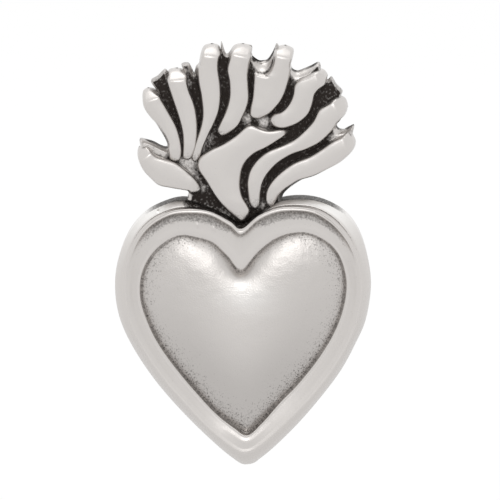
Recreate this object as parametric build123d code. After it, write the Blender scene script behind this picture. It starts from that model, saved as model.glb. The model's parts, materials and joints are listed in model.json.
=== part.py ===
# A double-sided sacred-heart milagro charm in antiqued silver, strung lengthwise on a cord.
#
# A ring-shaped heart frame carries a puffed heart shell on each side. A crown of nine flames
# and a broad centre flame lies on each face of a flat plate that stands in the frame's cleft.
# One straight tube runs from the notch between the top flames down to the heart's point.
#
# Millimetres. The origin is the middle of the stringing bore, +Z runs up the bore to the
# flames, +X is to the right and the front faces -Y.

import math
import os

from build123d import *

# Overall sizes of the charm, which every outline follows
charm_width = 21.8
charm_height = 36.0

# Stringing tube
bore_radius = 0.65
tube_wall = 0.25
tube_radius = bore_radius + tube_wall
mouth_height_share = 0.957
bore_length = mouth_height_share * charm_height

# Half thicknesses, each counted from the middle plane outwards and stacked on the tube
edge_cover = 0.1
edge_half = tube_radius + edge_cover
plate_cover = 0.35
plate_half = tube_radius + plate_cover
ledge_cover = 0.6
ledge_half = tube_radius + ledge_cover
seam_depth = 0.4
channel_half = ledge_half + seam_depth
rim_rise = 0.7
crest_half = channel_half + rim_rise
dome_rise = 1.9
flame_rise = 1.15

# Puffed heart shells and the seat that they are soldered to
dome_sheet = 0.6
seam_gap = 0.1
ledge_width = 0.8

# One overrun serves every cut
overrun = 1.0

# The outlines below are drawn by hand in hundredths: x of charm_width from the bore's axis,
# z of charm_height from the heart's point.
hundredth_share = 0.01

# Heart outlines, all with as many points: the cleft first, down the left side to the point
# of the heart, which is halfway through the list, and up the right side again
edge_shares = (
    (-4.7, 58.2), (-10.5, 59.8), (-17.5, 61.6), (-26.5, 63.1), (-34.5, 62.0),
    (-42.8, 59.1), (-49.0, 54.2), (-53.0, 47.0), (-53.5, 40.5), (-51.4, 34.2),
    (-46.5, 27.9), (-38.5, 20.6), (-28.9, 13.9), (-17.0, 6.8), (-6.5, 1.5),
    (-0.9, 0.0), (6.0, 2.3), (17.3, 8.9), (26.9, 15.8), (35.3, 22.9),
    (40.9, 29.5), (44.7, 35.2), (46.4, 43.1), (45.0, 49.5), (41.7, 55.6),
    (36.4, 60.0), (28.0, 62.9), (19.2, 63.9), (10.0, 63.2), (2.0, 60.6),
)
crest_shares = (
    (-4.6, 55.6), (-9.1, 57.4), (-17.0, 59.6), (-24.8, 60.1), (-32.7, 59.3),
    (-40.4, 56.7), (-45.7, 52.5), (-49.0, 46.5), (-49.6, 40.5), (-47.9, 34.4),
    (-43.0, 27.9), (-35.0, 20.9), (-26.3, 14.9), (-15.9, 8.5), (-6.8, 4.2),
    (-1.2, 3.1), (5.2, 5.2), (15.5, 11.0), (24.1, 17.0), (31.8, 22.9),
    (37.6, 29.0), (41.3, 34.8), (42.7, 42.0), (41.4, 47.5), (37.6, 53.0),
    (31.5, 57.5), (24.5, 60.2), (17.3, 61.0), (9.3, 60.7), (2.0, 58.9),
)
seam_shares = (
    (-4.5, 45.7), (-10.1, 49.1), (-15.6, 52.0), (-22.0, 53.6), (-28.5, 53.8),
    (-35.0, 51.9), (-39.8, 48.8), (-42.9, 44.5), (-43.3, 39.5), (-41.3, 35.0),
    (-36.8, 29.3), (-30.0, 23.5), (-21.9, 17.8), (-13.4, 12.5), (-6.1, 9.2),
    (-0.9, 7.5), (4.4, 10.2), (11.4, 15.2), (18.2, 19.5), (25.4, 25.1),
    (31.5, 31.2), (35.2, 37.3), (36.4, 43.2), (34.6, 48.3), (31.5, 51.4),
    (26.9, 53.6), (20.8, 55.0), (14.0, 54.8), (7.5, 53.1), (1.6, 50.0),
)

# The swell of the frame's flank from edge to crest: share of the way across, share of the rise
flank_shares = ((0.25, 0.45), (0.6, 0.82))

# The cove of the frame's channel from crest to seam: share of the way across, share of the fall
crest_land_share = 0.1
cove_shares = ((0.3, 0.7), (0.6, 0.95))

# The puff of a heart shell: share of the way in to the middle, share of the rise
dome_middle_shares = (-3.6, 38.0)
dome_round_share = 0.3
puff_shares = ((0.05, 0.3), (0.16, 0.55), (0.36, 0.78), (0.62, 0.93), (0.84, 0.99))

# Flame plate, which shows between the tips of the flames
plate_shares = (
    (-26.0, 61.5), (-27.0, 64.6), (-34.0, 66.0), (-40.0, 68.2), (-43.4, 71.0),
    (-44.5, 74.0), (-43.0, 75.2), (-45.2, 76.4), (-42.0, 76.9), (-36.0, 75.4),
    (-34.2, 75.2), (-33.8, 77.0), (-36.5, 80.2), (-42.0, 83.8), (-43.2, 86.5),
    (-42.0, 88.0), (-39.6, 88.0), (-41.2, 90.3), (-35.8, 93.0), (-34.0, 91.8),
    (-29.6, 91.8), (-29.2, 94.5), (-26.3, 94.5), (-24.5, 92.2), (-23.3, 94.0),
    (-21.0, 92.6), (-20.8, 97.6), (-14.6, 97.6), (-13.7, 99.9), (-11.7, 97.1),
    (-8.6, 98.6), (-2.4, 98.2), (-1.0, 95.8), (4.4, 95.8), (7.8, 99.6),
    (8.8, 97.8), (13.6, 97.8), (14.0, 93.5), (17.5, 93.6), (24.5, 95.3),
    (25.6, 92.6), (28.1, 91.4), (29.5, 92.1), (34.0, 88.8), (32.9, 87.8),
    (35.3, 85.1), (33.6, 82.2), (31.6, 80.2), (35.1, 79.7), (38.6, 80.8),
    (37.8, 78.4), (38.6, 76.3), (36.5, 74.2), (28.4, 70.8), (17.8, 67.3),
    (12.6, 65.0), (11.4, 62.0), (-4.7, 57.0),
)

# Flames, each drawn as stations along its middle line from root to tip: x, z and half width,
# all in hundredths, the half width of charm_width
flame_shares = {
    "flame_1": (
        (-20.7, 64.9, 1.0), (-23.9, 66.2, 2.7), (-28.2, 67.7, 4.1), (-33.7, 68.9, 5.0),
        (-38.8, 70.3, 4.9), (-42.4, 72.4, 3.4), (-44.0, 74.6, 1.5),
    ),
    "flame_2": (
        (-31.5, 72.9, 1.4), (-31.1, 75.0, 2.0), (-31.8, 77.4, 2.5), (-33.4, 79.7, 2.9),
        (-36.6, 82.5, 3.3), (-39.6, 84.9, 3.7), (-41.4, 87.0, 2.9), (-42.0, 88.6, 1.6),
    ),
    "flame_3": (
        (-26.6, 73.4, 1.0), (-25.9, 75.3, 1.9), (-25.4, 77.9, 2.4), (-25.7, 80.8, 2.8),
        (-27.1, 84.4, 3.5), (-29.4, 88.1, 3.5), (-30.6, 91.1, 3.2), (-31.1, 93.1, 2.1),
    ),
    "flame_4": (
        (-22.1, 73.0, 0.8), (-21.0, 75.3, 1.2), (-19.7, 77.8, 1.6), (-18.3, 81.1, 2.4),
        (-17.4, 84.9, 3.2), (-17.7, 88.9, 3.7), (-18.2, 92.7, 3.7), (-18.0, 96.5, 3.6),
        (-17.4, 99.1, 2.9),
    ),
    "flame_5": (
        (-12.9, 78.9, 1.6), (-10.2, 81.2, 2.9), (-8.0, 83.8, 3.5), (-6.6, 87.1, 3.6),
        (-6.6, 90.4, 3.4), (-6.9, 93.7, 3.7), (-6.0, 96.8, 3.8), (-5.3, 99.1, 3.1),
    ),
    "flame_6": (
        (-0.7, 82.9, 1.4), (2.2, 85.3, 4.0), (4.4, 88.2, 5.5), (5.9, 91.1, 6.0),
        (7.8, 93.4, 5.0), (10.0, 95.6, 3.7), (10.9, 97.5, 3.5), (11.1, 99.2, 2.7),
    ),
    "flame_7": (
        (6.0, 82.3, 1.2), (9.3, 82.2, 2.4), (13.6, 83.1, 3.4), (16.6, 85.2, 3.8),
        (18.3, 87.6, 3.9), (20.0, 89.8, 3.8), (23.1, 91.5, 3.0), (26.2, 92.6, 2.0),
    ),
    "flame_8": (
        (0.9, 60.8, 0.9), (0.3, 63.9, 1.9), (0.2, 66.9, 2.5), (1.6, 69.9, 2.9),
        (4.9, 72.5, 3.0), (9.9, 74.3, 2.9), (16.1, 76.0, 3.0), (21.3, 78.3, 3.5),
        (25.7, 81.0, 4.0), (29.6, 83.6, 4.2), (32.6, 85.6, 3.3), (34.7, 86.5, 2.0),
    ),
    "flame_9": (
        (5.6, 60.8, 0.8), (6.9, 64.4, 1.9), (9.0, 66.9, 2.5), (12.2, 68.6, 2.8),
        (16.7, 70.3, 3.4), (22.1, 71.8, 3.8), (27.5, 73.4, 4.0), (32.5, 75.2, 4.0),
        (36.0, 76.7, 3.6), (38.3, 77.4, 2.5),
    ),
    "center_flame": (
        (-4.5, 57.9, 1.0), (-6.3, 61.0, 3.4), (-9.5, 64.1, 4.9), (-12.0, 67.2, 6.2),
        (-12.8, 70.0, 7.2), (-10.8, 72.8, 6.7), (-6.5, 75.4, 5.8), (-1.1, 77.5, 4.6),
        (3.9, 78.3, 3.1), (9.4, 79.1, 1.7), (13.4, 79.8, 0.7),
    ),
}
root_rise_share = 0.8
tip_rise_share = 0.5
flame_side_share = 0.5


def place(x_share, z_share):
    """The point of the middle plane that a pair of hundredths stands for, as x and z."""
    x = x_share * hundredth_share * charm_width
    z = z_share * hundredth_share * charm_height - bore_length / 2
    return x, z


def outline(shares):
    """The points of an outline, as x and z."""
    return [place(x_share, z_share) for x_share, z_share in shares]


def between(first, second, share):
    """The outline that lies a share of the way from the first outline to the second."""
    return [
        (ax + (bx - ax) * share, az + (bz - az) * share)
        for (ax, az), (bx, bz) in zip(first, second)
    ]


def heart_wire(points, y):
    """A heart outline at a depth y: two curves that meet in the cleft and at the point."""
    halfway = len(points) // 2
    closed = [Vector(x, y, z) for x, z in points + points[:1]]
    falling = closed[1] - closed[0]
    rising = closed[-1] - closed[-2]
    level = Vector(1, 0, 0)
    left = Edge.make_spline(closed[:halfway + 1], tangents=(falling, level))
    right = Edge.make_spline(closed[halfway:], tangents=(level, rising))
    return Wire([left, right])


def heart_prism(points, half):
    """A heart outline carried straight through the charm, from -half to half."""
    return extrude(Face(heart_wire(points, -half)), amount=2 * half, dir=(0, 1, 0))


edge = outline(edge_shares)
crest = outline(crest_shares)
seam = outline(seam_shares)
middle = place(*dome_middle_shares)


def drawn_in(points, distance):
    """An outline with each point moved by a distance towards the middle of the heart."""
    moved = []
    for x, z in points:
        reach = math.hypot(x - middle[0], z - middle[1])
        share = distance / reach
        moved.append((x + (middle[0] - x) * share, z + (middle[1] - z) * share))
    return moved


def frame_blank():
    """The heart frame before it is hollowed: upright edge, then a swelling flank on each side."""
    levels = []
    for across, up in ((0, 0),) + flank_shares + ((1, 1),):
        y = edge_half + (crest_half - edge_half) * up
        levels.append(heart_wire(between(edge, crest, across), -y))
    flank = Solid.make_loft(levels)
    return heart_prism(edge, edge_half) + flank + mirror(flank, about=Plane.XZ)


def channel_cut():
    """What is taken out of the frame's front: the cove inside the crest, down to the ledge."""
    lip = between(crest, seam, crest_land_share)
    levels = [heart_wire(lip, -crest_half - overrun), heart_wire(lip, -crest_half)]
    for across, down in cove_shares:
        levels.append(heart_wire(between(crest, seam, across), rim_rise * down - crest_half))
    levels.append(heart_wire(seam, -channel_half))
    levels.append(heart_wire(seam, -ledge_half))
    return Solid.make_loft(levels, ruled=True)


def tube_bar(radius):
    """A bar along the bore, longer than the charm."""
    return Cylinder(radius, charm_height + bore_length)


def heart_frame(blank):
    """The ring that carries both heart shells, with a seat for the tube at cleft and point."""
    cut = channel_cut()
    window = heart_prism(drawn_in(seam, ledge_width), crest_half + overrun)
    return blank - cut - mirror(cut, about=Plane.XZ) - window - tube_bar(tube_radius)


def puff(inset, rise):
    """A heart-shaped swelling on the frame's ledge, its foot drawn in from the seam."""
    foot = drawn_in(seam, inset)
    round_radius = dome_round_share * charm_width
    levels = [heart_wire(foot, -ledge_half)]
    for inward, up in puff_shares:
        points = []
        for x, z in foot:
            reach = math.hypot(x - middle[0], z - middle[1])
            rounded = (reach + (round_radius - reach) * inward) * (1 - inward) / reach
            points.append((middle[0] + (x - middle[0]) * rounded, middle[1] + (z - middle[1]) * rounded))
        levels.append(heart_wire(points, -ledge_half - rise * up))
    top = Vertex(middle[0], -ledge_half - rise, middle[1])
    return Solid.make_loft(levels + [top])


def heart_shell():
    """The front puffed heart, raised from sheet and open behind."""
    return puff(seam_gap, dome_rise) - puff(seam_gap + dome_sheet, dome_rise - dome_sheet)


def flame_plate(blank):
    """The flat plate between both crowns of flames, fitted to the frame and drilled."""
    points = [(x, -plate_half, z) for x, z in outline(plate_shares)]
    sheet = extrude(make_face(Polyline(*points, close=True)), amount=2 * plate_half, dir=(0, 1, 0))
    return sheet - blank - tube_bar(tube_radius)


def flame(stations, blank):
    """One front flame: a loaf-shaped bar that follows its middle line and thins at both ends."""
    spots = [place(x_share, z_share) for x_share, z_share, _ in stations]
    last = len(stations) - 1
    sections = []
    for i, (x, z) in enumerate(spots):
        before = spots[max(i - 1, 0)]
        after = spots[min(i + 1, last)]
        along = Vector(after[0] - before[0], 0, after[1] - before[1]).normalized()
        across = Vector(-along.Z, 0, along.X)
        half = stations[i][2] * hundredth_share * charm_width
        rise = flame_rise
        if i == 0:
            rise = flame_rise * root_rise_share
        if i == last:
            rise = flame_rise * tip_rise_share
        side = rise * flame_side_share
        foot = Polyline((half, side), (half, 0), (-half, 0), (-half, side))
        back = ThreePointArc((-half, side), (0, rise), (half, side))
        station = Plane(origin=(x, -plate_half, z), x_dir=across, z_dir=along)
        sections.append(station * make_face(foot + back))
    return loft(sections) - blank


def stringing_tube(blank):
    """The tube from the top notch to the heart's point, trimmed to the frame's edge there."""
    hang = (Align.CENTER, Align.CENTER, Align.MAX)
    top = Pos(0, 0, bore_length / 2)
    upper = top * Cylinder(tube_radius, bore_length / 2, align=hang)
    lower = top * Cylinder(tube_radius, bore_length + overrun, align=hang) & blank
    return upper + lower - tube_bar(bore_radius)


def write(node, solid):
    """Save one piece under its node's name."""
    solid.label = node
    export_step(solid, f"parts/{node}.step")


os.makedirs("parts", exist_ok=True)
blank = frame_blank()
write("heart_frame", heart_frame(blank))
shell = heart_shell()
write("front_heart", shell)
write("back_heart", mirror(shell, about=Plane.XZ))
write("flame_plate", flame_plate(blank))
write("stringing_tube", stringing_tube(blank))
for name, stations in flame_shares.items():
    tongue = flame(stations, blank)
    write(f"front_{name}", tongue)
    write(f"back_{name}", mirror(tongue, about=Plane.XZ))
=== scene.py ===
"""The looks of a double-sided sacred-heart milagro charm in antiqued silver.

The pieces come in the order in which the charm is put together: the stringing tube, the heart
frame, the two puffed hearts, the flame plate and the two crowns of flames. Metres throughout,
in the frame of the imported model: +Z up the bore, +X to the right, the front faces -Y.
"""

import json
import math

import bpy
import numpy as np
from mathutils import Matrix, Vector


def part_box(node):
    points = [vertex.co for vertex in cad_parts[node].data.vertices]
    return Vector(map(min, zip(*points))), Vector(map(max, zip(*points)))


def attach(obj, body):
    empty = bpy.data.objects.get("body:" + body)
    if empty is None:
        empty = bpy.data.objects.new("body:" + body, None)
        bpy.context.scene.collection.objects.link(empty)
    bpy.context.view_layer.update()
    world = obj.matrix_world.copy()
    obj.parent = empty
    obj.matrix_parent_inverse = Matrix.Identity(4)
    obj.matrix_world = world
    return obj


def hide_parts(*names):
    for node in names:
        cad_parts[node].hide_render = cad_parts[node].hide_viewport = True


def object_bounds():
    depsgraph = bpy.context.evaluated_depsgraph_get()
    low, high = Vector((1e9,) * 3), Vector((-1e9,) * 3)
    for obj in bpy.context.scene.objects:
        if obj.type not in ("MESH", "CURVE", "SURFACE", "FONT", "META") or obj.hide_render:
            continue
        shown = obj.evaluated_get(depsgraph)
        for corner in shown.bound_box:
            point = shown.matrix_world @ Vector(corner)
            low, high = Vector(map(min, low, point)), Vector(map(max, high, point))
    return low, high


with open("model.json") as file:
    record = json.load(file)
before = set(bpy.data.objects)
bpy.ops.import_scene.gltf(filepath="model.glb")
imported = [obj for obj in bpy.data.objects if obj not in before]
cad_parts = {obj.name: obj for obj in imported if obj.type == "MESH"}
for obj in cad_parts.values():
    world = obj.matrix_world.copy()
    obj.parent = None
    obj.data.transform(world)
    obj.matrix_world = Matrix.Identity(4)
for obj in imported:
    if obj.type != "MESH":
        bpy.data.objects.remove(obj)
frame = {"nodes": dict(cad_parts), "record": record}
cad_low, cad_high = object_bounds()
mm = 0.001


# The stringing tube
# A drawn silver tube, soldered in from the notch between the top flames to the heart's point.
# The cord runs through it. Its lip is rubbed bright and its inside is nearly black.

silver = (0.64, 0.612, 0.59, 1.0)
# Painted highlight: a whiter silver that the mesh's highlight value mixes into the metal
highlight_silver = (0.92, 0.905, 0.885, 1.0)
oxide = (0.035, 0.029, 0.026, 1.0)
skin_roughness = (0.36, 0.6)
bore_roughness = (0.35, 0.7)
skin_relief = 0.05 * mm


def add_node(tree, kind, **settings):
    """A new node in a node tree, with its properties set."""
    node = tree.nodes.new(kind)
    for name, value in settings.items():
        setattr(node, name, value)
    return node


def join(tree, source, target):
    """Links one socket to another."""
    tree.links.new(source, target)


def new_group(name, inputs, outputs):
    """An empty node group with named sockets, and its input and output nodes."""
    group = bpy.data.node_groups.new(name, "ShaderNodeTree")
    for label, kind, value in inputs:
        socket = group.interface.new_socket(label, in_out="INPUT", socket_type=kind)
        socket.default_value = value
    for label, kind in outputs:
        group.interface.new_socket(label, in_out="OUTPUT", socket_type=kind)
    return group, add_node(group, "NodeGroupInput"), add_node(group, "NodeGroupOutput")


def build_tarnish_group():
    """Patina left in the low places, broken up by the grain of the cast skin.

    The tarnish is the mask plus a noise centred on nothing, steepened about a half.
    """
    group, given, result = new_group(
        "tarnish in the grain",
        [("Mask", "NodeSocketFloat", 0.0), ("Grain", "NodeSocketFloat", 7000.0),
         ("Break up", "NodeSocketFloat", 0.9), ("Steepness", "NodeSocketFloat", 1.7)],
        [("Tarnish", "NodeSocketFloat")],
    )
    place = add_node(group, "ShaderNodeTexCoord")
    grain = add_node(group, "ShaderNodeTexNoise")
    grain.inputs["Detail"].default_value = 3.0
    join(group, place.outputs["Object"], grain.inputs["Vector"])
    join(group, given.outputs["Grain"], grain.inputs["Scale"])
    centred = add_node(group, "ShaderNodeMath", operation="SUBTRACT")
    centred.inputs[1].default_value = 0.5
    join(group, grain.outputs["Fac"], centred.inputs[0])
    spread = add_node(group, "ShaderNodeMath", operation="MULTIPLY")
    join(group, centred.outputs[0], spread.inputs[0])
    join(group, given.outputs["Break up"], spread.inputs[1])
    mixed = add_node(group, "ShaderNodeMath", operation="ADD")
    join(group, given.outputs["Mask"], mixed.inputs[0])
    join(group, spread.outputs[0], mixed.inputs[1])
    lowered = add_node(group, "ShaderNodeMath", operation="SUBTRACT")
    lowered.inputs[1].default_value = 0.5
    join(group, mixed.outputs[0], lowered.inputs[0])
    steep = add_node(group, "ShaderNodeMath", operation="MULTIPLY_ADD", use_clamp=True)
    steep.inputs[2].default_value = 0.5
    join(group, lowered.outputs[0], steep.inputs[0])
    join(group, given.outputs["Steepness"], steep.inputs[1])
    join(group, steep.outputs[0], result.inputs["Tarnish"])
    return group


def build_skin_group():
    """The skin of cast and tumbled silver: a fine sandy grain on broad soft dents."""
    group, given, result = new_group(
        "cast skin",
        [("Sand", "NodeSocketFloat", 9000.0), ("Sand height", "NodeSocketFloat", 0.1),
         ("Dents", "NodeSocketFloat", 700.0), ("Dent height", "NodeSocketFloat", 0.6)],
        [("Height", "NodeSocketFloat")],
    )
    place = add_node(group, "ShaderNodeTexCoord")
    sand = add_node(group, "ShaderNodeTexNoise")
    sand.inputs["Detail"].default_value = 2.0
    dents = add_node(group, "ShaderNodeTexNoise")
    dents.inputs["Detail"].default_value = 1.0
    join(group, place.outputs["Object"], sand.inputs["Vector"])
    join(group, place.outputs["Object"], dents.inputs["Vector"])
    join(group, given.outputs["Sand"], sand.inputs["Scale"])
    join(group, given.outputs["Dents"], dents.inputs["Scale"])
    fine = add_node(group, "ShaderNodeMath", operation="MULTIPLY")
    join(group, sand.outputs["Fac"], fine.inputs[0])
    join(group, given.outputs["Sand height"], fine.inputs[1])
    total = add_node(group, "ShaderNodeMath", operation="MULTIPLY_ADD")
    join(group, dents.outputs["Fac"], total.inputs[0])
    join(group, given.outputs["Dent height"], total.inputs[1])
    join(group, fine.outputs[0], total.inputs[2])
    join(group, total.outputs[0], result.inputs["Height"])
    return group


tarnish_group = build_tarnish_group()
skin_group = build_skin_group()


def new_metal(name):
    """A new metal, with its node tree and its shader."""
    material = bpy.data.materials.new(name)
    material.use_nodes = True
    shader = material.node_tree.nodes["Principled BSDF"]
    shader.inputs["Metallic"].default_value = 1.0
    return material, material.node_tree, shader


def roughen(tree, tarnish, shader, roughness):
    """Satin where the silver is clean, and dull where it is tarnished."""
    rough = add_node(tree, "ShaderNodeMapRange")
    rough.inputs["To Min"].default_value = roughness[0]
    rough.inputs["To Max"].default_value = roughness[1]
    join(tree, tarnish.outputs["Tarnish"], rough.inputs["Value"])
    join(tree, rough.outputs["Result"], shader.inputs["Roughness"])


def antique_silver(name, grain=7000.0, break_up=0.9, steepness=1.7, sand=0.1, dents=0.6):
    """Silver that is clean where it is rubbed and oxidised where the mesh's patina says.

    The patina is broken up by the grain. Two more values on the mesh are painted shade, a thin
    even darkening, and a painted highlight, which mixes in a whiter silver.
    """
    material, tree, shader = new_metal(name)
    mask = add_node(tree, "ShaderNodeAttribute", attribute_name="patina")
    tarnish = add_node(tree, "ShaderNodeGroup", node_tree=tarnish_group)
    tarnish.inputs["Grain"].default_value = grain
    tarnish.inputs["Break up"].default_value = break_up
    tarnish.inputs["Steepness"].default_value = steepness
    join(tree, mask.outputs["Fac"], tarnish.inputs["Mask"])
    # Painted shade: an even darkening added to the patina where the mesh asks for it
    painted_shade = add_node(tree, "ShaderNodeAttribute", attribute_name="painted_shade")
    total = add_node(tree, "ShaderNodeMath", operation="ADD", use_clamp=True)
    join(tree, tarnish.outputs["Tarnish"], total.inputs[0])
    join(tree, painted_shade.outputs["Fac"], total.inputs[1])
    # Painted highlight: the whiter silver is mixed in where the mesh asks for it
    painted_highlight = add_node(tree, "ShaderNodeAttribute", attribute_name="painted_highlight")
    clean = add_node(tree, "ShaderNodeMix", data_type="RGBA")
    clean.inputs["A"].default_value = silver
    clean.inputs["B"].default_value = highlight_silver
    join(tree, painted_highlight.outputs["Fac"], clean.inputs["Factor"])
    colour = add_node(tree, "ShaderNodeMix", data_type="RGBA")
    colour.inputs["B"].default_value = oxide
    join(tree, clean.outputs["Result"], colour.inputs["A"])
    join(tree, total.outputs[0], colour.inputs["Factor"])
    join(tree, colour.outputs["Result"], shader.inputs["Base Color"])
    roughen(tree, tarnish, shader, skin_roughness)
    surface = add_node(tree, "ShaderNodeGroup", node_tree=skin_group)
    surface.inputs["Sand height"].default_value = sand
    surface.inputs["Dent height"].default_value = dents
    relief = add_node(tree, "ShaderNodeBump")
    relief.inputs["Strength"].default_value = 1.0
    relief.inputs["Distance"].default_value = skin_relief
    join(tree, surface.outputs["Height"], relief.inputs["Height"])
    join(tree, relief.outputs["Normal"], shader.inputs["Normal"])
    return material


def oxidised_bore(name):
    """Tube silver whose tarnish follows the distance from the bore's axis: dark inside."""
    material, tree, shader = new_metal(name)
    place = add_node(tree, "ShaderNodeTexCoord")
    flat = add_node(tree, "ShaderNodeVectorMath", operation="MULTIPLY")
    flat.inputs[1].default_value = (1.0, 1.0, 0.0)
    join(tree, place.outputs["Object"], flat.inputs[0])
    reach = add_node(tree, "ShaderNodeVectorMath", operation="LENGTH")
    join(tree, flat.outputs["Vector"], reach.inputs[0])
    inside = add_node(tree, "ShaderNodeMapRange")
    inside.inputs["From Min"].default_value = tube_radius
    inside.inputs["From Max"].default_value = bore_radius
    join(tree, reach.outputs["Value"], inside.inputs["Value"])
    tarnish = add_node(tree, "ShaderNodeGroup", node_tree=tarnish_group)
    join(tree, inside.outputs["Result"], tarnish.inputs["Mask"])
    colour = add_node(tree, "ShaderNodeMix", data_type="RGBA")
    colour.inputs["A"].default_value = silver
    colour.inputs["B"].default_value = oxide
    join(tree, tarnish.outputs["Tarnish"], colour.inputs["Factor"])
    join(tree, colour.outputs["Result"], shader.inputs["Base Color"])
    roughen(tree, tarnish, shader, bore_roughness)
    return material


bore_mount = frame["record"]["mounts"][0]
bore_radius = bore_mount["dims"]["r_mm"] * mm
tube_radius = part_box("stringing_tube")[1].x
mouth_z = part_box("stringing_tube")[1].z

tube = frame["nodes"]["stringing_tube"]
tube.data.materials.clear()
tube.data.materials.append(oxidised_bore("tube silver"))


# The heart frame
# A ring of cast silver in the shape of a heart: an upright edge, a swelling flank, a narrow
# crest and a coved channel down to the seam. Patina stays in the crease outside the crest and
# in the seam. The steep band inside the crest has painted shade along the shoulders, and the
# shoulders' outer flank has a painted highlight.

# Pixels of the reference picture: the foot of the bore, and the heart's width, which is also the
# whole charm's
foot_px = np.array([249.0, 464.8])
heart_width_px = 256.0
pixel = (cad_high.x - cad_low.x) / heart_width_px

# How the charm stands in the picture: it leans to the right and is seen from a little above
lean = math.radians(1.035)
tilt = math.radians(7.0)

# How far in front of the middle plane the ring's edge, crest and seam lie
edge_half = 1.0 * mm
crest_half = -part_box("heart_frame")[0].y
seam_half = 1.9 * mm

# Outlines in pixels, all with as many stations: the cleft, down the left, the point, up the right
edge_px = (
    (241, 219), (226.7, 211.6), (209, 203.7), (186, 197), (165.5, 201.2), (144, 213.1),
    (127.7, 233.5), (117, 264), (115.2, 291.3), (120, 318), (132, 345), (152, 376),
    (176, 405), (206, 435.5), (232.5, 458.4), (247, 464.9), (264.5, 455.6), (294, 428),
    (319, 399.5), (341, 370), (356, 342), (366, 318), (371, 285), (368, 258), (360, 232),
    (346.7, 213), (325.5, 200.3), (303, 195.7), (279.4, 198.2), (258.8, 208.8),
)
crest_px = (
    (241.5, 229.5), (230, 222), (210, 212), (190, 210), (170, 212.5), (150, 223.5),
    (136, 241), (127, 266), (125, 291), (129, 317.5), (141, 345), (161, 375.5),
    (183, 401), (209, 428.5), (232, 447), (246, 452), (262.5, 443.5), (289.5, 419.5),
    (312, 396), (331.5, 371), (347.5, 344), (357.3, 319.8), (361.5, 290), (358.5, 266),
    (349.3, 242.6), (334, 223.5), (316, 211.5), (298, 208), (277.5, 208.8), (258.6, 216),
)
seam_px = (
    (241, 271.6), (227, 257), (213, 243.7), (197, 238.3), (180, 236.2), (163.7, 244),
    (151, 257), (142.6, 275), (141.2, 296), (146, 315), (157, 339.4), (174, 364.2),
    (194.3, 388.7), (215.7, 411.5), (234, 425.8), (247.3, 433.3), (261, 422), (279.3, 401.2),
    (297, 383.4), (316, 360), (332, 334.5), (342, 309), (345.5, 284), (341.2, 262.4),
    (333.5, 249), (322, 239.6), (306.4, 233.6), (289, 234.5), (272.3, 241.5), (256.9, 254.5),
)

# The section of the ring: share of the way (0 edge, 1 crest, 2 seam) and depth in millimetres,
# first as it is along the shoulders and then as it is down the sides
shoulder_section = (
    (0.0, 0.0), (0.0, 0.65), (0.0, 1.3), (0.03, 1.52), (0.25, 1.74), (0.5, 1.92), (0.66, 2.02),
    (0.74, 2.04), (0.8, 2.3), (0.87, 2.52), (0.95, 2.6), (1.005, 2.6), (1.035, 2.555),
    (1.065, 2.59), (1.1, 2.56), (1.18, 2.3), (1.3, 2.08), (1.44, 1.99), (1.62, 1.96),
    (1.8, 1.965), (1.92, 1.945), (1.965, 1.91), (2.0, 1.85), (2.1, 1.7), (2.3, 1.3),
    (2.34, 0.7), (2.34, 0.0),
)
side_section = (
    (0.0, 0.0), (0.0, 0.45), (0.0, 0.9), (0.04, 1.1), (0.25, 1.7), (0.48, 2.14), (0.66, 2.36),
    (0.76, 2.46), (0.8, 2.5), (0.85, 2.54), (0.92, 2.585), (0.98, 2.6), (1.02, 2.6),
    (1.06, 2.585), (1.1, 2.565), (1.18, 2.5), (1.3, 2.41), (1.44, 2.28), (1.62, 2.13),
    (1.8, 2.0), (1.9, 2.03), (1.96, 1.95), (2.0, 1.85), (2.1, 1.7), (2.3, 1.3),
    (2.34, 0.7), (2.34, 0.0),
)

# Small pimples that the casting left on the ring
pimples_px = ((156.8, 212.5), (172.5, 222.5), (197.5, 226.0), (214.0, 229.5))
pimple_height = 0.2 * mm
pimple_reach_px = 1.5

# At the heart's point the slope down to the seam is filled out, over so many stations
point_fill = 0.45 * mm
point_reach = 1.9

# How far round a feature of the ring reaches, in stations from the cleft, as from and to
shoulder_end = (4.6, 7.2)
top_wall_end = (4.2, 5.4)
band_end = (2.4, 3.8)
left_neck_end = (2.9, 3.5)
right_neck_start = (28.2, 28.9)
cleft_end = (0.3, 1.8)

# How far in it reaches, in shares of the way, as from and to
wall_in = (0.0, 0.1)
highlight_in = (0.5, 0.72)
band_in = (0.7, 0.75)
neck_in = (0.8, 0.88)
cove_start = (1.08, 1.14)
fill_start, fill_end = (1.05, 1.7), (1.9, 1.97)
seam_start = (1.9, 2.0)
cove_end, cove_end_at_cleft, cove_fade = 1.55, 1.3, 0.2

# The painted highlights on the shoulders and the crease outside the crest, as middle and reach
left_highlight, right_highlight = (4.6, 1.4), (25.8, 1.6)
crease = (0.75, 0.04)

# How dark each place is, from 0 to 1: the clean metal; patina in the seam, the crease and the
# band; painted shade in the cove along the shoulders; darker metal at the upright wall and neck
clean_dark, seam_dark, cove_painted_shade, crease_dark = 0.06, 0.38, 0.45, 0.6
wall_dark, band_dark, neck_dark = 0.72, 0.14, 0.8


def from_photo(points, depth):
    """Where pixels of the picture lie on the charm, at a depth behind its middle plane.

    What lies in front of the plane has a depth below nothing. A pixel is turned upright by the
    lean and scaled to the heart's width. Its height above the foot is then the height on the
    charm, seen slanting, so what lies further forward is raised.
    """
    across, down = (np.asarray(points, float) - foot_px).T
    x = (across + math.tan(lean) * down) * pixel
    up = (math.tan(lean) * across - down) * pixel
    z = cad_low.z + (up - (depth + edge_half) * math.sin(tilt)) / math.cos(tilt)
    return np.stack([x, depth + 0 * x, z], axis=1)


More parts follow.
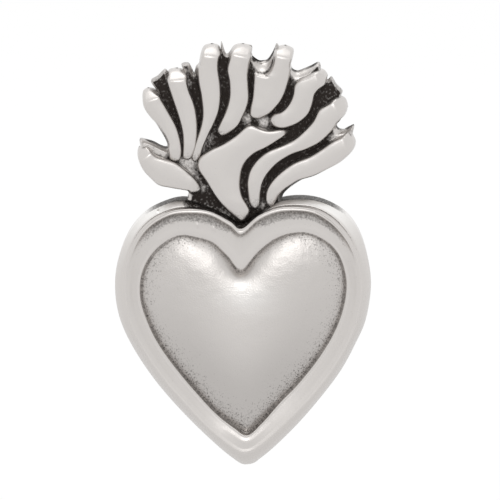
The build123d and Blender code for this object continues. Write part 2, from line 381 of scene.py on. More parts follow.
def smooth_path(points, steps, closed=False):
    """A smooth curve through given points, with as many steps from each to the next.

    Each stretch is the cubic whose slope at a point is half the way from the point before it to
    the point after it.
    """
    points = np.asarray(points, float)
    if closed:
        padded = np.concatenate([points[-1:], points, points[:2]])
    else:
        first = 2 * points[:1] - points[1:2]
        last = 2 * points[-1:] - points[-2:-1]
        padded = np.concatenate([first, points, last])
    p0, p1, p2, p3 = padded[:-3], padded[1:-2], padded[2:-1], padded[3:]
    t = (np.arange(steps) / steps)[None, :, None]
    p0, p1, p2, p3 = (p[:, None, :] for p in (p0, p1, p2, p3))
    curve = 0.5 * (
        2 * p1 + (p2 - p0) * t + (2 * p0 - 5 * p1 + 4 * p2 - p3) * t ** 2
        + (3 * p1 - p0 - 3 * p2 + p3) * t ** 3
    )
    curve = curve.reshape(-1, points.shape[1])
    return curve if closed else np.concatenate([curve, points[-1:]])


def ease(value, low, high):
    """0 below low, 1 above high and a smooth S between them."""
    share = np.clip((value - low) / (high - low), 0, 1)
    return share * share * (3 - 2 * share)


def bell(value, middle, width):
    """1 at the middle, falling smoothly to nearly nothing at about twice the width from it."""
    return np.exp(-((value - middle) / width) ** 2)


def skin(name, rings, first=None, last=None, marks=None):
    """A closed mesh over rings of points, each ring joined to the next.

    With a first and a last point, fans close the two ends. Without them the last ring joins the
    first. Marks are values kept on the points for the finish. Faces end up pointing outwards.
    """
    count, around = rings.shape[:2]
    vertices = rings.reshape(-1, 3)
    index = np.arange(count * around).reshape(count, around)
    turned = np.roll(index, -1, axis=1)
    if first is None:
        near, far = index, np.roll(index, -1, axis=0)
        near_turned, far_turned = turned, np.roll(turned, -1, axis=0)
    else:
        near, far = index[:-1], index[1:]
        near_turned, far_turned = turned[:-1], turned[1:]
    quads = np.stack([near, near_turned, far_turned, far], axis=-1).reshape(-1, 4)
    triangles = np.zeros((0, 3), int)
    if first is not None:
        total = len(vertices)
        vertices = np.concatenate([vertices, [first], [last]])
        start = np.stack([index[0], np.full(around, total), turned[0]], axis=-1)
        end = np.stack([index[-1], turned[-1], np.full(around, total + 1)], axis=-1)
        triangles = np.concatenate([start, end])
    corners = np.concatenate([quads[:, [0, 1, 2]], quads[:, [0, 2, 3]], triangles])
    a, b, c = (vertices[corners[:, i]] for i in range(3))
    if np.einsum("ij,ij->i", a, np.cross(b, c)).sum() < 0:
        quads, triangles = quads[:, ::-1], triangles[:, ::-1]
    mesh = bpy.data.meshes.new(name)
    mesh.from_pydata(vertices.tolist(), [], quads.tolist() + triangles.tolist())
    mesh.polygons.foreach_set("use_smooth", np.ones(len(mesh.polygons), bool))
    for label, values in (marks or {}).items():
        values = np.asarray(values, float).reshape(-1)
        if first is not None:
            values = np.append(values, [values[:around].mean(), values[-around:].mean()])
        mark = mesh.attributes.new(label, "FLOAT", "POINT")
        mark.data.foreach_set("value", values.astype(np.float32))
    mesh.update()
    piece = bpy.data.objects.new(name, mesh)
    bpy.context.scene.collection.objects.link(piece)
    return piece


def finish_piece(piece, material, slot, *nodes):
    """Gives a piece its finish and its body, and hides the imported parts that it stands for."""
    piece.data.materials.append(material)
    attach(piece, "root")
    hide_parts(*nodes)


def make_heart_frame():
    """The ring: its section is carried round the heart through edge, crest and seam.

    A point of the section lies a share of the way from one outline to the next. The section
    turns from the shoulders' to the sides' as the station goes round. The edge's outline lies
    in front of the middle plane at the point of the heart, and behind it at the cleft, by the
    cosine of the turn, since that is the part of the edge that the picture shows.
    """
    steps, section_steps = 19, 3
    count = len(edge_px)
    stations = np.arange(count * steps) / steps
    depth = edge_half * np.cos(2 * np.pi * stations / count)
    edge = from_photo(smooth_path(edge_px, steps, closed=True), depth)
    crest = from_photo(smooth_path(crest_px, steps, closed=True), -crest_half)
    seam = from_photo(smooth_path(seam_px, steps, closed=True), -seam_half)
    outlines = np.stack([edge, crest, seam, 2 * seam - crest])[..., [0, 2]]
    shoulder = smooth_path(shoulder_section, section_steps)
    side = smooth_path(side_section, section_steps)
    around_top = np.minimum(stations, count - stations)[:, None]
    top = 1 - ease(around_top, *shoulder_end)
    section = shoulder[None] * top[..., None] + side[None] * (1 - top[..., None])
    way, deep = section[..., 0], section[..., 1] * mm
    point = bell(stations, count / 2, point_reach)[:, None]
    deep = deep + point_fill * point * ease(way, *fill_start) * (1 - ease(way, *fill_end))
    lower = np.clip(np.floor(way).astype(int), 0, 2)
    part = (way - lower)[..., None]
    rows = np.arange(len(stations))[:, None]
    flat = outlines[lower, rows] * (1 - part) + outlines[lower + 1, rows] * part
    for spot_px in pimples_px:
        spot = from_photo([spot_px], -crest_half)[0, [0, 2]]
        away = np.linalg.norm(flat - spot, axis=-1)
        deep = deep + pimple_height * bell(away, 0, pimple_reach_px * pixel)
    front = np.stack([flat[..., 0], -deep, flat[..., 1]], axis=-1)
    back = front[:, -2:0:-1] * [1, -1, 1]
    rings = np.concatenate([front, back], axis=1)

    neck = np.maximum(1 - ease(stations, *left_neck_end), ease(stations, *right_neck_start))
    reach = cove_end - (cove_end - cove_end_at_cleft) * (1 - ease(around_top, *cleft_end))
    cove = ease(way, *cove_start) * (1 - ease(way, reach - cove_fade, reach))
    places = (
        wall_dark * (1 - ease(around_top, *top_wall_end)) * (1 - ease(way, *wall_in)),
        band_dark * (1 - ease(around_top, *band_end)) * (1 - ease(way, *band_in)),
        neck_dark * neck[:, None] * (1 - ease(way, *neck_in)),
        crease_dark * top * bell(way, *crease),
        # Painted shade: the cove, the steep band inside the crest, is darkened along the
        # shoulders
        cove_painted_shade * top * cove,
        seam_dark * ease(way, *seam_start),
    )
    dark = np.maximum(clean_dark, np.max(places, axis=0))
    # Painted highlight on the outer flank of each shoulder, where the metal is whitened
    rubbed = bell(stations, *left_highlight) + bell(stations, *right_highlight)
    painted_highlight = rubbed[:, None] * (1 - ease(way, *highlight_in))
    dark, painted_highlight = (np.concatenate([m, m[:, -2:0:-1]], axis=1) for m in (dark, painted_highlight))
    return skin("cast_heart_frame", rings, marks={"patina": dark, "painted_highlight": painted_highlight})


def drill(piece):
    """Takes the room of the tube and of the cord out of a piece that lies in their way.

    The cutter is a bar as thick as the tube up to the tube's mouth, and as thick as the bore
    above it. The walls that it leaves are dark.
    """
    sides, far, close = 96, 2 * cad_high.z, 0.001
    turn = 2 * np.pi * np.arange(sides) / sides
    round_bar = np.stack([np.cos(turn), np.sin(turn), 0 * turn], axis=1)
    radii = np.array([tube_radius, tube_radius, bore_radius, bore_radius])[:, None, None]
    heights = np.array([-far, mouth_z, mouth_z, far])[:, None, None] * np.array([0.0, 0.0, 1.0])
    rings = round_bar[None] * radii + heights
    low, high = np.array([0.0, 0.0, -far]), np.array([0.0, 0.0, far])
    cutter = skin("cutter", rings, low, high)
    cutter.data.polygons.foreach_set("use_smooth", np.zeros(len(cutter.data.polygons), bool))
    cut = piece.modifiers.new("seat", "BOOLEAN")
    cut.operation = "DIFFERENCE"
    cut.solver = "EXACT"
    cut.object = cutter
    drilled = bpy.data.meshes.new_from_object(
        piece.evaluated_get(bpy.context.evaluated_depsgraph_get())
    )
    piece.modifiers.clear()
    piece.data = drilled
    bpy.data.objects.remove(cutter)
    places = np.zeros(len(drilled.vertices) * 3)
    drilled.vertices.foreach_get("co", places)
    away = np.hypot(places[0::3], places[1::3])
    wall = (abs(away / tube_radius - 1) < close) | (abs(away / bore_radius - 1) < close)
    dark = np.zeros(len(drilled.vertices), np.float32)
    mark = drilled.attributes["patina"]
    mark.data.foreach_get("value", dark)
    mark.data.foreach_set("value", np.where(wall, np.float32(1.0), dark))
    drilled.update()
    return piece


heart_frame = drill(make_heart_frame())
frame_silver = antique_silver("frame silver", grain=6500.0)
finish_piece(heart_frame, frame_silver, "frame_silver", "heart_frame")


# The puffed hearts
# Two heart-shaped shells raised from sheet, one soldered on each ledge of the frame. They swell
# from the seam to the middle, with a valley below the cleft, and are polished on the crown.

# How far in front of the middle plane a shell's underside, foot and crown lie, and how far in
# from the seam its foot stands, as a share of the way to the middle
under_half = 1.4 * mm
foot_half = 1.7 * mm
dome_half = -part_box("front_heart")[0].y
foot_gap_share = 0.003

# The crown, the burr that the file left beside the seam, and the painted highlight on the saddle
# below the cleft, which is broader than it is tall
dome_middle_px = (241.0, 325.0)
burr_px = (277.0, 400.5)
burr_height = 0.12 * mm
burr_reach_px = 2.2
saddle_px = (246.0, 297.0)
saddle_reach_px = 15.0
saddle_stretch = 0.6
saddle_highlight = 0.5

# How dark the shells are: on the crown, at the seam and in the speckle beside it, which is
# broader and darker in the lower half, and how far from the seam the last two reach
crown_dark, seam_edge_dark, speckle_dark, low_speckle_dark = -0.12, 0.1, 0.33, 0.04
seam_edge_reach, speckle_reach, low_speckle_reach = 0.02, 0.16, 0.08

# How far below the crown's middle the lower half begins and is full, the first being above it,
# and the painted shade on the sloping sides, darker in the lower half, with the shares of the way
# out at which it begins and is full
low_start, low_end = -3.0 * mm, 5.0 * mm
painted_shade_dark, painted_shade_in = 0.2, (0.1, 0.75)

# The charm's two faces, and on which side of the middle plane each lies: 1 is the front
faces = (("front", 1), ("back", -1))


def make_heart_shell(name, side):
    """A puffed heart: the seam's outline drawn in towards the middle, ring by ring.

    The further in, the more each ring is smoothed: a bell curve over the count of its waves
    damps the short ones. The height is one less the ring's share of the way out raised to a
    power, and that again raised to a power, which is steep at the seam and round on the crown.
    """
    steps, ring_count, ring_power = 12, 60, 0.62
    smoothing, crown_power, seam_power = 0.5, 2.3, 0.75
    seam = from_photo(smooth_path(seam_px, steps, closed=True), -seam_half)[:, [0, 2]]
    middle = from_photo([dome_middle_px], -dome_half)[0, [0, 2]]
    foot = seam + (middle - seam) * foot_gap_share - middle
    waves = np.fft.fft(foot[:, 0] + 1j * foot[:, 1])
    count = np.abs(np.fft.fftfreq(len(foot), 1 / len(foot)))
    reach = np.linspace(0, 1, ring_count)[1:] ** ring_power
    damping = np.exp(-(count[None] * (1 - reach[:, None]) * smoothing) ** 2)
    drawn = np.fft.ifft(waves[None] * damping, axis=1) * reach[:, None]
    flat = np.stack([drawn.real, drawn.imag], axis=-1) + middle
    height = (1 - reach ** crown_power) ** seam_power
    depth = foot_half + (dome_half - foot_half) * height[:, None] + 0 * flat[..., 0]
    burr = np.linalg.norm(flat - from_photo([burr_px], -foot_half)[0, [0, 2]], axis=-1)
    depth = depth + burr_height * bell(burr, 0, burr_reach_px * pixel)
    front = np.stack([flat[..., 0], -side * depth, flat[..., 1]], axis=-1)
    under = front[-1:] * [1, 0, 1] + [0, -side * under_half, 0]
    rings = np.concatenate([front, under])

    near = (1 - reach)[:, None]
    low = ease(middle[1] - flat[..., 1], low_start, low_end)
    speckle = bell(near, 0, speckle_reach + low_speckle_reach * low)
    dark = crown_dark + seam_edge_dark * np.exp(-near / seam_edge_reach)
    dark = dark + (speckle_dark + low_speckle_dark * low) * speckle
    # Painted shade: darker out towards the seam, and twice as dark in the lower half
    painted_shade = painted_shade_dark * ease(reach, *painted_shade_in)[:, None] * (1 + low) / 2
    # Painted highlight on the saddle below the cleft
    saddle = (flat - from_photo([saddle_px], -dome_half)[0, [0, 2]]) * [saddle_stretch, 1.0]
    painted_highlight = saddle_highlight * bell(np.linalg.norm(saddle, axis=-1), 0, saddle_reach_px * pixel)
    under_dark = np.ones((1, dark.shape[1]))
    marks = {
        "patina": np.concatenate([dark, under_dark]),
        "painted_shade": np.concatenate([painted_shade, painted_shade[-1:]]),
        "painted_highlight": np.concatenate([painted_highlight, painted_highlight[-1:]]),
    }
    top = np.array([middle[0], -side * dome_half, middle[1]])
    inner = np.array([middle[0], -side * under_half, middle[1]])
    return skin(name, rings, top, inner, marks=marks)


heart_silver = antique_silver(
    "heart silver", grain=7500.0, break_up=1.6, steepness=1.7, sand=0.4, dents=1.4,
)
for word, side in faces:
    heart = make_heart_shell(f"{word}_puffed_heart", side)
    finish_piece(heart, heart_silver, "heart_silver", f"{word}_heart")


# The flame plate
# A flat plate, oxidised nearly black, that both crowns lie on. It shows in the grooves and, with
# a bevelled and rubbed edge, in the notches between the tips.

plate_half = -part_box("flame_plate")[0].y
plate_middle_px = (240.0, 190.0)

# The plate's outline from the left neck over the top to the right neck, with the width of the
# bevel at each point, in pixels
plate_px = (
    (186, 204, 5), (188, 195, 5), (187, 190, 3), (172, 184, 3), (150, 168, 3), (143, 155, 3),
    (140.5, 146, 3), (140, 138.5, 3), (147, 139.3, 6), (154, 141.3, 7), (161, 145, 7),
    (167, 146, 6), (165, 138, 3), (152, 116, 3), (147, 104, 3), (150, 93, 3), (157.5, 92, 3),
    (151, 81, 3), (158, 75.5, 3), (165.5, 69, 3), (168.5, 76, 3), (176, 76, 3), (184, 72, 3),
    (181.5, 64, 3), (189.5, 63.5, 3), (193.5, 73.5, 3), (196.5, 65.5, 3), (201, 64, 3),
    (204, 54, 3), (213, 50, 3), (220, 51, 3), (221.5, 41.5, 3), (226.5, 54, 3), (234, 47, 3),
    (240, 51, 3), (249, 53, 4), (254, 56.5, 8), (261, 60, 13), (267, 59.5, 12), (271.5, 54, 8),
    (274.5, 48, 6), (277, 43.5, 3), (282, 51, 3), (290, 55, 3), (291.5, 67, 5), (297, 70.5, 8),
    (304, 68.5, 9), (311, 65.5, 8), (319.5, 62.5, 4), (322, 75, 3), (327.5, 79.5, 3),
    (331.5, 76.5, 3), (336.5, 84, 3), (342.5, 90.5, 3), (341, 96, 3), (343, 106, 3),
    (341, 118.5, 3), (337, 124, 5), (339, 128, 7), (346, 128.7, 8), (354, 124.5, 5),
    (352, 136, 3), (350, 148, 3), (334, 162, 3), (312, 174, 3), (298, 181.5, 4), (286, 190.5, 5),
    (282, 198, 5), (280, 214, 3), (241, 236, 3), (196, 216, 3),
)

# The same as a fine curve, and where it lies on the charm
plate_steps = 7
plate_curve_px = smooth_path(plate_px, plate_steps, closed=True)
plate_outline = from_photo(plate_curve_px[:, :2], 0.0)[:, [0, 2]]

# Where the plate is worn light or left sandy: middle and reach in pixels, and how much
worn_px = (
    (144, 145, 3.5, 0.6), (150, 147.5, 4, 0.7), (157, 150.5, 4.5, 0.7), (164, 153.5, 4.5, 0.7),
    (186, 164, 9, 0.55), (195, 157, 6, 0.6), (200, 146, 5, 0.45), (209, 139, 6, 0.3),
    (247, 119, 5, 0.6), (264, 122, 6, 0.6), (280, 128, 5, 0.4), (176, 192, 6, 0.4),
    (192, 173, 4, 0.45), (197, 180, 4, 0.4), (203, 188, 4.5, 0.35),
    (205, 212, 8, 0.35), (225, 214, 7, 0.3), (262, 66, 8, 0.5), (306, 76, 8, 0.6),
    (298, 79, 5, 0.5), (343, 135, 6, 0.8), (335, 139, 5, 0.7), (253, 200, 4, 0.3),
    (186.5, 72, 4, 0.3), (188, 84, 4, 0.3), (187, 130, 6, 0.2), (181, 140, 5, 0.25),
    (245, 205, 5, 0.3), (262, 205, 5, 0.3), (333, 103, 8, 0.12),
)

# The lip of the bore's mouth, where the plate is as dark as the bore: middle and reach in pixels,
# and how dark
mouth_px = ((254.6, 60.0, 2.8, 1.2), (257.6, 61.2, 2.0, 1.1), (264.6, 61.6, 2.2, 0.62))

# How dark the plate is, and how much of that is rubbed off its bevel and off a broad one; a broad
# bevel is dark again at its very rim. Shares are of the bevel's width, as from and to
plate_dark, bevel_worn, broad_worn, rim_dark = 0.84, 0.45, 0.4, 0.85
bevel_share, rim_share = (0.55, 0.95), (0.1, 0.35)
broad_bevel_px = (3.6, 6.0)


def outline_gap(points, outline):
    """The distance from each point to the nearest stretch of a closed outline.

    A stretch's nearest place is the foot of the perpendicular, kept between its two ends. The
    points are taken some 2000 at a time, to spare memory.
    """
    at_once, least_square = 2000, 1e-18
    run = np.roll(outline, -1, axis=0) - outline
    squares = np.maximum((run ** 2).sum(-1), least_square)
    nearest = np.full(len(points), np.inf)
    for chunk in np.array_split(np.arange(len(points)), max(1, len(points) // at_once)):
        step = points[chunk][:, None, :] - outline[None]
        share = np.clip((step * run).sum(-1) / squares, 0, 1)
        gap = np.linalg.norm(step - share[..., None] * run, axis=-1)
        nearest[chunk] = gap.min(axis=1)
    return nearest


def make_flame_plate():
    """The plate: rays from its middle to the outline, with a bevel that ends in the mid-plane.

    The bevel is a quarter of an ellipse, as wide as the outline says and half the plate deep.
    """
    ring_count, ring_power = 40, 1.9
    bevel = plate_curve_px[:, 2] * pixel
    middle = from_photo([plate_middle_px], 0.0)[0, [0, 2]]
    reach = (1 - np.linspace(0, 1, ring_count)[:-1] ** ring_power)[::-1]
    flat = middle + (plate_outline[None] - middle) * reach[:, None, None]
    gaps = outline_gap(flat.reshape(-1, 2), plate_outline).reshape(flat.shape[:2])
    share = np.clip(gaps / bevel[None], 0, 1)
    depth = plate_half * (1 - (1 - share) ** 2) ** 0.5
    front = np.stack([flat[..., 0], -depth, flat[..., 1]], axis=-1)
    back = front[-2::-1] * [1, -1, 1]
    rings = np.concatenate([front, back])

    broad = ease(plate_curve_px[:, 2], *broad_bevel_px)[None]
    dark = plate_dark - (1 - ease(share, *bevel_share)) * (bevel_worn + broad_worn * broad)
    dark = np.maximum(dark, rim_dark * broad * (1 - ease(share, *rim_share)))
    for x, y, size, amount in worn_px:
        spot = from_photo([(x, y)], -plate_half)[0, [0, 2]]
        dark = dark - amount * bell(np.linalg.norm(flat - spot, axis=-1), 0, size * pixel)
    for x, y, size, amount in mouth_px:
        spot = from_photo([(x, y)], -plate_half)[0, [0, 2]]
        lip = amount * bell(np.linalg.norm(flat - spot, axis=-1), 0, size * pixel)
        dark = np.maximum(dark, lip)
    dark = np.concatenate([dark, dark[-2::-1]])
    front_middle = np.array([middle[0], -plate_half, middle[1]])
    return skin("oxidised_flame_plate", rings, front_middle, front_middle * [1, -1, 1],
                marks={"patina": dark})


flame_plate = drill(make_flame_plate())
plate_silver = antique_silver(
    "plate silver", grain=6000.0, break_up=0.9, steepness=1.9, sand=0.3, dents=1.0,
)
finish_piece(flame_plate, plate_silver, "plate_silver", "flame_plate")


# The flames
# Nine tongues and a broad centre flame on each face, cast with round backs and soldered on the
# plate. Each tip bends back to the middle of the charm and meets the one behind it.

flame_half = -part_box("front_flame_5")[0].y

# Both sides of each flame in pixels, from the root to the tip: its two ends, then the left side
# and the right side as seen from the root
flames_px = {
    "flame_1": {
        "ends": ((202, 189.5), (139, 148)),
        "left": ((195, 191.8), (183, 190), (170, 187.8), (158, 185), (150, 178), (142.5, 169.5),
                 (138, 159), (137.6, 152)),
        "right": ((198, 182), (188, 172), (176, 163), (165, 159), (155, 155.5), (149.5, 149.5),
                  (144, 146)),
    },
    "flame_2": {
        "ends": ((175.5, 162), (148.5, 89)),
        "left": ((171, 159), (169.8, 153), (168.5, 145), (166.5, 136), (160, 127.5),
                 (150, 117), (144, 108), (142.5, 99), (143.5, 92.3)),
        "right": ((180, 159), (181, 149), (179.5, 138), (175.5, 125), (168.5, 112), (162, 101),
                  (156.5, 92.3)),
    },
    "flame_3": {
        "ends": ((187, 160.5), (177, 69.3)),
        "left": ((183.5, 157.5), (183.5, 151), (184, 142), (183, 130), (179, 115),
                 (174, 100), (170.5, 89), (168, 78), (169.3, 71.6)),
        "right": ((191, 157.5), (195, 146), (196.8, 131), (196, 114), (193, 101), (188.5, 90),
                  (186.3, 81), (185.3, 73)),
    },
    "flame_4": {
        "ends": ((195, 163), (212, 45.2)),
        "left": ((192.3, 157), (194.5, 147.5), (198.6, 135), (202, 124), (203.5, 113),
                 (202, 96), (199.2, 80), (199.3, 64), (201, 54.5), (204.5, 47.8)),
        "right": ((199.5, 156), (202.3, 147), (207.5, 135), (212.7, 124), (218, 111), (220, 97),
                  (219.5, 83), (217.6, 69), (218, 59), (220.3, 50.5), (217.5, 46.6)),
    },
    "flame_5": {
        "ends": ((221, 136.5), (243, 45.2)),
        "left": ((217.5, 130.5), (221, 122), (226.5, 110), (230, 97), (230, 82), (228, 70),
                 (230, 60), (232.8, 52), (235.5, 47)),
        "right": ((228, 133), (237, 125), (244, 112), (248, 99), (247.8, 86), (247.2, 74),
                  (248.6, 63), (251.5, 54), (251.5, 48)),
    },
    "flame_6": {
        "ends": ((258, 120), (285.5, 46.6)),
        "left": ((251, 116.5), (250.8, 109), (253.3, 97), (254.2, 84), (255.3, 72), (260, 73.2),
                 (266, 73.8), (271, 70), (274.3, 62), (275.5, 54), (278, 49)),
        "right": ((266, 115.5), (273, 108.5), (280, 100), (285, 90), (288, 79), (290, 68),
                  (292.8, 58), (293.3, 51)),
    },
    "flame_7": {
        "ends": ((268.3, 119), (328, 76)),
        "left": ((273, 114.2), (281, 111.8), (288, 105), (292.3, 96), (294, 87), (298, 81.4),
                 (307, 77.5), (316, 72.8), (323, 71.3)),
        "right": ((272.5, 124.5), (281, 126.7), (291, 124.7), (300, 120), (308, 112.5),
                  (312.5, 102), (315, 92.5), (320, 86.8), (325.5, 83.5)),
    },
    "flame_8": {
        "ends": ((256, 210), (348.2, 107)),
        "left": ((250.5, 204), (248.5, 193), (248, 181), (251, 169), (258, 159), (268, 151),
                 (281, 145.5), (294, 139.5), (304, 131), (313, 121), (318.5, 110.5),
                 (327, 105), (338, 98), (345, 99.5)),
        "right": ((259.3, 204), (259.8, 193), (262, 181.5), (268, 171), (278, 161), (291, 153),
                  (306, 147.7), (319, 141), (329, 132), (338.5, 121.3), (345.5, 114.8)),
    },
    "flame_9": {
        "ends": ((271.5, 207), (356, 142)),
        "left": ((267, 203.5), (266.3, 196), (268.5, 187), (275, 177.5), (284.5, 169),
                 (296, 161.7), (309, 156.5), (320.5, 149.8), (332, 141.8), (343, 136.5),
                 (350.5, 132.8)),
        "right": ((274.5, 202), (278.5, 194), (286, 186.5), (298, 180.7), (314, 176), (328, 169),
                  (340, 162.5), (350, 154), (354.8, 148)),
    },
    "center_flame": {
        "ends": ((241, 222), (293, 129.8)),
        "left": ((228, 211), (217, 197.5), (207, 181), (200, 171), (198, 164.5), (201, 156.5),
                 (211, 149), (224, 143), (236, 135.5), (245.5, 127.3), (252, 124.2), (260, 127.3),
                 (270, 129.8), (282, 128.8)),
        "right": ((245.5, 218.5), (249.5, 211), (246, 203), (241.5, 194.5), (239.6, 183),
                  (241.3, 169), (246, 159.5), (254, 152), (265, 146.5), (278, 138.5), (288, 132)),
    },
}

# A flame flares so many pixels to each side where it lies on the plate, and less towards the
# plate's outline, over this stretch
flare_px = 1.8
flare_reach = 0.25 * mm

# The rounded step along its sides, the bevel of its tip, which only its outer half can have, how
# high the tip's edge is as a share, and how much lower the sides are than the crown. The step
# and the bevel are superellipses with these powers.
side_round = 0.2 * mm
side_power = 2.2
tip_bevel = 0.95 * mm
tip_power = 1.35
outer_half = 0.5
tip_edge_share = 0.22
crown = 0.16 * mm

# The root starts lower than the rest, as a share of the height over the plate, and reaches its
# height so far along
root_share = 0.6
root_length_share = 0.2

# How dark a flame is: on top, at the foot of its sides, and at its root
flame_dark, foot_dark, root_dark = 0.05, 0.75, 0.34
foot_start, foot_end = plate_half - 0.1 * mm, plate_half + 0.3 * mm
root_dark_span = (0.02, 0.14)


def inside_plate(points):
    """1 for points well inside the flame plate's outline, falling to 0 at the outline.

    A point is inside where a level ray from it crosses the outline an odd number of times.
    """
    start, end = plate_outline, np.roll(plate_outline, -1, axis=0)
    px, pz = points[:, 0][:, None], points[:, 1][:, None]
    spans = (start[None, :, 1] > pz) != (end[None, :, 1] > pz)
    run, fall = (end - start).T
    slope = run / np.where(fall == 0, 1.0, fall)
    crossing = start[None, :, 0] + (pz - start[None, :, 1]) * slope[None]
    inside = (spans & (px < crossing)).sum(axis=1) % 2 == 1
    return np.where(inside, ease(outline_gap(points, plate_outline), 0.0, flare_reach), 0.0)


def even_path(points, count):
    """Points spread evenly by length along the smooth curve through given points."""
    steps = 12
    curve = smooth_path(points, steps)
    lengths = np.append(0, np.cumsum(np.linalg.norm(np.diff(curve, axis=0), axis=1)))
    places = np.linspace(0, lengths[-1], count)
    return np.stack([np.interp(places, lengths, curve[:, i]) for i in (0, 1)], axis=1)


def seat_depth(x, z):
    """How far in front of the mid-plane a flame's underside lies, to leave the tube its room.

    It follows the tube's round up to the mouth, and the bore's round above it.
    """
    radius = np.where(z < mouth_z, tube_radius, bore_radius)
    return np.sqrt(np.maximum(radius ** 2 - x ** 2, 0))


def make_flame(name, drawn, side):
    """A flame: rows across from its left side to its right side, from the root to the tip.

    Its top rises from the mid-plane with the distance from the flame's own outline, as a
    rounded step that is narrow along the sides, and with the distance from the tip, as a bevel.
    """
    rows, columns, neck_row, least_px = 72, 18, -14, 1.0
    root, tip = drawn["ends"]
    left = even_path((root,) + drawn["left"] + (tip,), rows)
    right = even_path((root,) + drawn["right"] + (tip,), rows)
    chord = left - right
    flare = flare_px * chord / np.maximum(np.linalg.norm(chord, axis=1), least_px)[:, None]
    left = left + flare * inside_plate(from_photo(left, 0.0)[:, [0, 2]])[:, None]
    right = right - flare * inside_plate(from_photo(right, 0.0)[:, [0, 2]])[:, None]
    outline = from_photo(np.concatenate([left, right[-2:0:-1]]), -plate_half)[:, [0, 2]]
    across = np.sin(np.linspace(-np.pi / 2, np.pi / 2, columns))
    share = (across[None, :, None] + 1) / 2
    inner = (left[:, None] * (1 - share) + right[:, None] * share)[1:-1]
    flat = from_photo(inner.reshape(-1, 2), -plate_half)[:, [0, 2]]
    gaps = outline_gap(flat, outline).reshape(inner.shape[:2])
    along = np.linspace(0, 1, rows)[1:-1][:, None]
    flat = flat.reshape(inner.shape)
    tip_point = outline[rows - 1]
    neck = flat[neck_row].mean(axis=0)
    axis = (tip_point - neck) / np.linalg.norm(tip_point - neck)
    from_tip = np.maximum((tip_point - flat) @ axis, 0)
    from_tip = np.where(along > outer_half, from_tip, tip_bevel)
    rise = (1 - (1 - np.clip(gaps / side_round, 0, 1)) ** side_power) ** (1 / side_power)
    bevel = (1 - (1 - np.clip(from_tip / tip_bevel, 0, 1)) ** tip_power) ** (1 / tip_power)
    full = root_share + (1 - root_share) * ease(along, 0.0, root_length_share)
    level = plate_half + (flame_half - plate_half) * full - crown * across[None] ** 2
    seat = seat_depth(flat[..., 0], flat[..., 1])
    depth = np.maximum(level * rise * (tip_edge_share + (1 - tip_edge_share) * bevel), seat)
    front = np.stack([flat[..., 0], -depth, flat[..., 1]], axis=-1)
    base = np.stack([flat[..., 0], -seat, flat[..., 1]], axis=-1)[:, -2:0:-1]
    rings = np.concatenate([front, base], axis=1) * [1, side, 1]
    covered = inside_plate(flat.reshape(-1, 2)).reshape(gaps.shape)
    low = foot_dark * (1 - ease(depth, foot_start, foot_end))
    near_root = root_dark * (1 - ease(along, *root_dark_span))
    dark = flame_dark + covered * np.maximum(low, near_root)
    dark = np.concatenate([dark, dark[:, -2:0:-1]], axis=1)
    ends = from_photo([root, tip], 0.0)
    ends[:, 1] = -side * seat_depth(ends[:, 0], ends[:, 2])
    return skin(name, rings, ends[0], ends[1], marks={"patina": dark})


flame_silver = antique_silver("flame silver", grain=8000.0, sand=0.15, dents=1.2)
for word, side in faces:
    for label, drawn in flames_px.items():
        flame = make_flame(f"{word}_{label}_tongue", drawn, side)
        finish_piece(flame, flame_silver, "flame_silver", f"{word}_{label}")


# The studio
# The charm hangs over a pale floor, in front of a white surround, in the soft light of two
# softboxes: one in front of it and above, and one behind it and above.

# How far away the camera is, and the picture's width and its centre in pixels
sight = 0.9
frame_px = 500.0
centre_px = (250.0, 250.0)


def studio_surface(name, colour):
    """A pale matt surface that the metal sees as the white surround, and the camera nearly so.

    The rest of what the camera sees is its own shading, with the charm's soft shadow.
    """
    camera_share = 0.85
    material = bpy.data.materials.new(name)
    material.use_nodes = True
    tree = material.node_tree
    shader = tree.nodes["Principled BSDF"]
    shader.inputs["Base Color"].default_value = colour
    shader.inputs["Roughness"].default_value = 0.9
    glow = add_node(tree, "ShaderNodeEmission")
    glow.inputs["Strength"].default_value = 1.0
    path = add_node(tree, "ShaderNodeLightPath")
    mirrored = add_node(tree, "ShaderNodeMath", operation="MAXIMUM")
    join(tree, path.outputs["Is Glossy Ray"], mirrored.inputs[0])
    join(tree, path.outputs["Is Transmission Ray"], mirrored.inputs[1])
    faint = add_node(tree, "ShaderNodeMath", operation="MULTIPLY")
    faint.inputs[1].default_value = camera_share
    join(tree, path.outputs["Is Camera Ray"], faint.inputs[0])
    seen = add_node(tree, "ShaderNodeMath", operation="MAXIMUM")
    join(tree, mirrored.outputs[0], seen.inputs[0])
    join(tree, faint.outputs[0], seen.inputs[1])
    mixed = add_node(tree, "ShaderNodeMixShader")
    join(tree, seen.outputs[0], mixed.inputs["Fac"])
    join(tree, shader.outputs["BSDF"], mixed.inputs[1])
    join(tree, glow.outputs["Emission"], mixed.inputs[2])
    join(tree, mixed.outputs["Shader"], tree.nodes["Material Output"].inputs["Surface"])
    return material


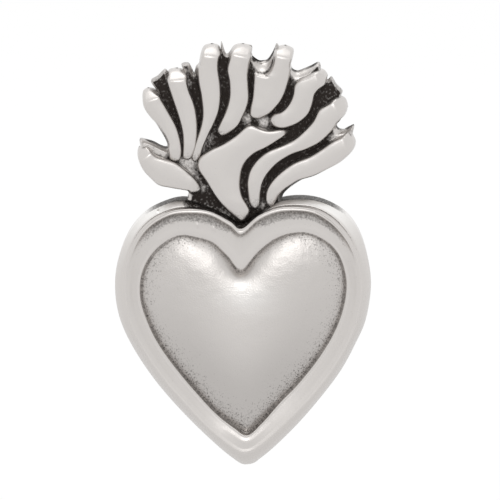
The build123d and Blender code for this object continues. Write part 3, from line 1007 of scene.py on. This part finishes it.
# The floor's colour, how far it reaches and how far below the charm it lies
floor_white = (0.9, 0.9, 0.9, 1.0)
floor_reach = 3.0
floor_gap = 12 * mm
floor_z = cad_low.z - floor_gap
signs = ((-1, -1), (1, -1), (1, 1), (-1, 1))
corners = [(x * floor_reach, y * floor_reach, floor_z) for x, y in signs]
floor_mesh = bpy.data.meshes.new("studio_floor")
floor_mesh.from_pydata(corners, [], [(0, 1, 2, 3)])
floor = bpy.data.objects.new("studio_floor", floor_mesh)
bpy.context.scene.collection.objects.link(floor)
floor_mesh.materials.append(studio_surface("studio floor", floor_white))

world = bpy.data.worlds.new("studio surround")
bpy.context.scene.world = world
world.use_nodes = True
sky = world.node_tree
surround = sky.nodes["Background"]
surround.inputs["Color"].default_value = (1.0, 1.0, 1.0, 1.0)
surround.inputs["Strength"].default_value = 1.0


def add_lamp(name, place, size, power):
    """A square softbox, with its size in metres and its power in watts, that faces the charm."""
    lamp = bpy.data.lights.new(name, "AREA")
    lamp.shape = "SQUARE"
    lamp.size = size
    lamp.energy = power
    holder = bpy.data.objects.new(name, lamp)
    holder.location = place
    across, along, up = -np.array(place) / np.linalg.norm(place)
    holder.rotation_euler = (math.acos(-up), 0.0, math.atan2(-across, along))
    bpy.context.scene.collection.objects.link(holder)


add_lamp("front softbox", place=(-0.02, -0.55, 0.42), size=0.3, power=0.7)
add_lamp("top softbox", place=(-0.05, 0.25, 0.6), size=0.4, power=0.62)

camera_data = bpy.data.cameras.new("camera")
camera = bpy.data.objects.new("camera", camera_data)
bpy.context.scene.collection.objects.link(camera)
bpy.context.scene.camera = camera
camera_data.sensor_width = 36.0
camera_data.lens = camera_data.sensor_width * sight / (frame_px * pixel)
camera_data.clip_start = 0.01
aim = from_photo([centre_px], -edge_half)[0]
forward = np.array([0.0, math.cos(tilt), -math.sin(tilt)])
upward = np.array([0.0, math.sin(tilt), math.cos(tilt)])
rightward = np.array([1.0, 0.0, 0.0])
turned_right = rightward * math.cos(lean) + upward * math.sin(lean)
turned_up = upward * math.cos(lean) - rightward * math.sin(lean)
place = aim - forward * sight
matrix = np.eye(4)
matrix[:3] = np.stack([turned_right, turned_up, -forward, place], axis=1)
camera.matrix_world = Matrix(matrix.tolist())

bpy.context.scene.view_settings.view_transform = "Standard"
